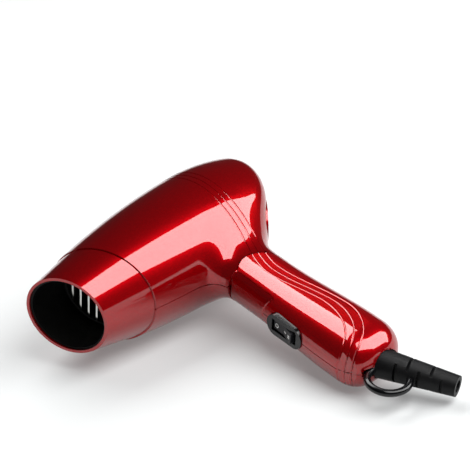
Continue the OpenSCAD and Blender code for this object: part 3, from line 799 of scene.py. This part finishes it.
for piece, node, body, width, slot_name in (
        ("bezel", "switch_frame", "handle", 0.5, "black_gloss"),
        ("rocker_cap", "rocker", "rocker", 0.3, "dark_grey"),
        ("relief_sleeve", "strain_relief", "handle", 0.25, "rubber")):
    finish(softened(piece, node, body, width), slot_name)

for name, obj in frame["nodes"].items():
    slot_name = obj.data.materials[0].name if obj.data.materials else "black_matte"
    if slot_name in MATERIALS:
        obj.data.materials[0] = MATERIALS[slot_name]

# ---------- camera ----------

CAM_AZ, CAM_EL, CAM_ROLL = (math.radians(a) for a in (129.98, 34.583, 2.401))
CAM_DIST, CAM_LENS, SENSOR = 1287.592, 168.51, 36.0
target = to_row(-96.115, 15.749, 0.0)
back = Vector((math.sin(CAM_AZ) * math.cos(CAM_EL), -math.cos(CAM_AZ) * math.cos(CAM_EL),
               math.sin(CAM_EL)))
level = Vector((math.cos(CAM_AZ), math.sin(CAM_AZ), 0))
raised = back.cross(level)
cam_x = level * math.cos(CAM_ROLL) + raised * math.sin(CAM_ROLL)
cam_y = back.cross(cam_x)
camera = bpy.data.objects.new("camera", bpy.data.cameras.new("camera"))
bpy.context.scene.collection.objects.link(camera)
camera.data.sensor_width = SENSOR
camera.data.lens = CAM_LENS
camera.data.clip_end = 50
turn = Matrix((cam_x, cam_y, back)).transposed().to_4x4()
camera.matrix_world = Matrix.Translation(target + back * CAM_DIST * MM) @ turn
bpy.context.scene.camera = camera

# ---------- stage ----------

FLOOR_HALF = 40.0
FLOOR_TILT = math.radians(8.0)
FLOOR_TONE = (0.43, 0.44, 0.44)
# the floor's glow is painted light, FLOOR_FILL near the object rising to FAR_FILL far off;
# FLOOR_SHADE is the colour of the painted shade behind the picture
FLOOR_FILL = 0.2
FLOOR_SHADE = (0.14, 0.12, 0.12)
FLOOR_FADE = (0.44, 0.64)
FLOOR_REAR = (-0.77, -0.64, 0)
FAR_FILL, FILL_REACH = 0.9, (0.5, 1.6)
MOTTLE = 0.97


def floor():
    """A pale table that the barrel and the bulb of the handle touch together.

    Its glow is painted light, weak near the object and stronger farther off, so that the
    shadows pale away. It darkens behind the picture, a painted shade with no glow, so that no
    bright rim shows on the red.
    """
    bm = bmesh.new()
    bmesh.ops.create_grid(bm, x_segments=4, y_segments=4, size=FLOOR_HALF)
    me = bpy.data.meshes.new("floor")
    bm.to_mesh(me)
    bm.free()
    obj = bpy.data.objects.new("floor", me)
    bpy.context.scene.collection.objects.link(obj)
    under = to_row(-50, 0, -BARREL_R / math.cos(FLOOR_TILT) - 0.1)
    obj.matrix_world = Matrix.Translation(under) @ Matrix.Rotation(FLOOR_TILT, 4, "X")
    m = Nodes("table")
    apart = m.add("ShaderNodeSeparateXYZ")
    m.link(m.where, apart.inputs[0])
    away = m.add("ShaderNodeVectorMath", operation="LENGTH")
    m.link(m.where, away.inputs[0])
    rear = m.add("ShaderNodeVectorMath", operation="DOT_PRODUCT")
    rear.inputs[1].default_value = FLOOR_REAR
    m.link(m.where, rear.inputs[0])
    # painted shade: behind the picture the floor turns to the dark shade colour and stops
    # glowing
    lit = m.span(rear.outputs["Value"], 1.0, 0.0, *FLOOR_FADE)
    # painted light: the floor's glow grows with distance from the object, paling the shadows
    # far off
    glow = m.add("ShaderNodeMath", operation="MULTIPLY")
    m.link(m.span(away.outputs["Value"], FLOOR_FILL, FAR_FILL, *FILL_REACH), glow.inputs[0])
    m.link(lit, glow.inputs[1])
    tones = [(0.0, tuple(MOTTLE * c for c in FLOOR_TONE) + (1,)), (1.0, FLOOR_TONE + (1,))]
    tone = m.mix(lit, FLOOR_SHADE + (1,), m.ramp(m.noise(3, 3), tones))
    m.set(Base_Color=tone, Roughness=0.7, Specular_IOR_Level=0.0,
          Emission_Color=(1, 1, 1, 1), Emission_Strength=glow.outputs["Value"])
    me.materials.append(m.mat)


floor()


def softbox(name, normal, distance, around, across_hint, middle, size, radiance, spin=0.0):
    """A rectangular light facing the point around; middle is its offset in its own plane."""
    away = Vector(normal).normalized()
    across = Vector(across_hint)
    across = (across - away * across.dot(away)).normalized()
    up = away.cross(across)
    c, s = math.cos(spin), math.sin(spin)
    across, up = across * c + up * s, up * c - across * s
    light = bpy.data.lights.new(name, "AREA")
    light.shape = "RECTANGLE"
    light.size, light.size_y = size
    light.energy = math.pi * size[0] * size[1] * radiance
    obj = bpy.data.objects.new(name, light)
    bpy.context.scene.collection.objects.link(obj)
    at = around + away * distance + across * middle[0] + up * middle[1]
    turn = Matrix((across, up, away)).transposed().to_4x4()
    obj.matrix_world = Matrix.Translation(at) @ turn
    return obj


SOFTBOX_AT, SOFTBOX_GLOW = 1.5, 7.4
KICKER_AT, KICKER_GLOW = 0.6, 60
ROOM_GLOW = 0.03
softbox("key", (-0.35, 0.52, 0.8), SOFTBOX_AT, to_row(-40, 0, 0), (-0.939, -0.183, -0.292),
        (-0.1, 0.07), (2.4, 0.95), SOFTBOX_GLOW, spin=math.radians(-25.5))
side = softbox("side", (-0.05, -0.62, 0.7), SOFTBOX_AT, to_row(-60, 90, 0), (1, 0, 0),
               (-0.28, -0.05), (1.4, 0.9), SOFTBOX_GLOW)
# the barrel is flagged off from the second softbox
flagged = bpy.data.collections.new("flagged")
for obj in bpy.data.objects:
    if obj.type == "MESH" and obj.name not in ("shell_upper", "shell_lower", "nozzle_skin"):
        flagged.objects.link(obj)
side.light_linking.receiver_collection = flagged

# and only the bars deep in the mouth see the third
kicker = softbox("kicker", (1, 0, 0), KICKER_AT, to_row(0, 0, 0), (0, 1, 0),
                 (0, 0), (0.12, 0.12), KICKER_GLOW)
bars = bpy.data.collections.new("bars")
bars.objects.link(frame["nodes"]["front_grille"])
kicker.light_linking.receiver_collection = bars

world = bpy.data.worlds.new("room")
bpy.context.scene.world = world
world.use_nodes = True
world.node_tree.nodes["Background"].inputs["Color"].default_value = (0.9, 0.92, 0.95, 1)
world.node_tree.nodes["Background"].inputs["Strength"].default_value = ROOM_GLOW
bpy.context.scene.view_settings.view_transform = "Standard"
